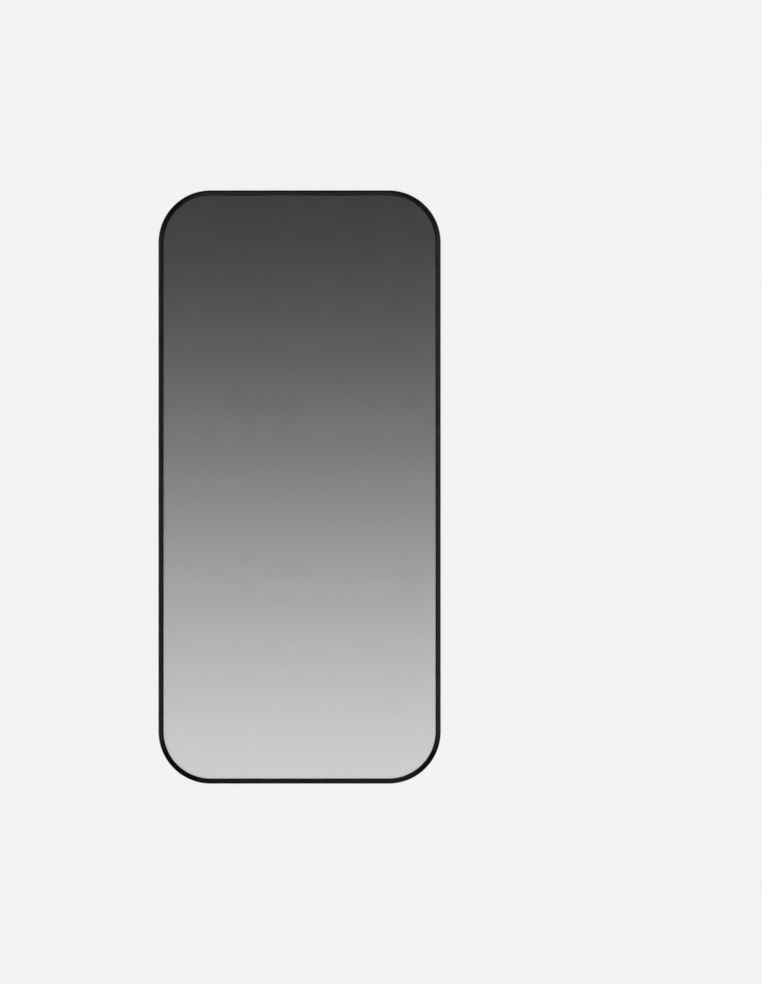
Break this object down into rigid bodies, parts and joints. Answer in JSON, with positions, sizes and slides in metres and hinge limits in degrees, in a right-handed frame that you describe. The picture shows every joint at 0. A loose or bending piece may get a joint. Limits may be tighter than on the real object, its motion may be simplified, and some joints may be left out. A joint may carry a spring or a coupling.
{
  "type": "phone privacy screen protector",
  "caption": "Thin glass plate with rounded corners, a printed black border and a grey louvre film, stuck over a phone's screen so that it can only be read from straight in front.",
  "frame": {"origin": "middle of the plate's outline, on the adhesive face that it rests on", "axes": "+Z out of the front of the glass, +Y along the plate towards the phone's top edge, +X across it, to the right seen from the front"},
  "size_m": [0.0694, 0.146, 0.0006],
  "materials": {
    "cover_glass": "polished tempered glass, clear",
    "border_print": "opaque black screen-printed ink, seen through the glass",
    "privacy_film": "see-through grey louvre film, darker towards the top edge",
    "adhesive_layer": "clear soft silicone"
  },
  "bodies": {
    "root": {"cover_glass": "cover_glass", "border_print": "border_print", "privacy_film": "privacy_film", "adhesive_layer": "adhesive_layer"}
  },
  "joints": []
}
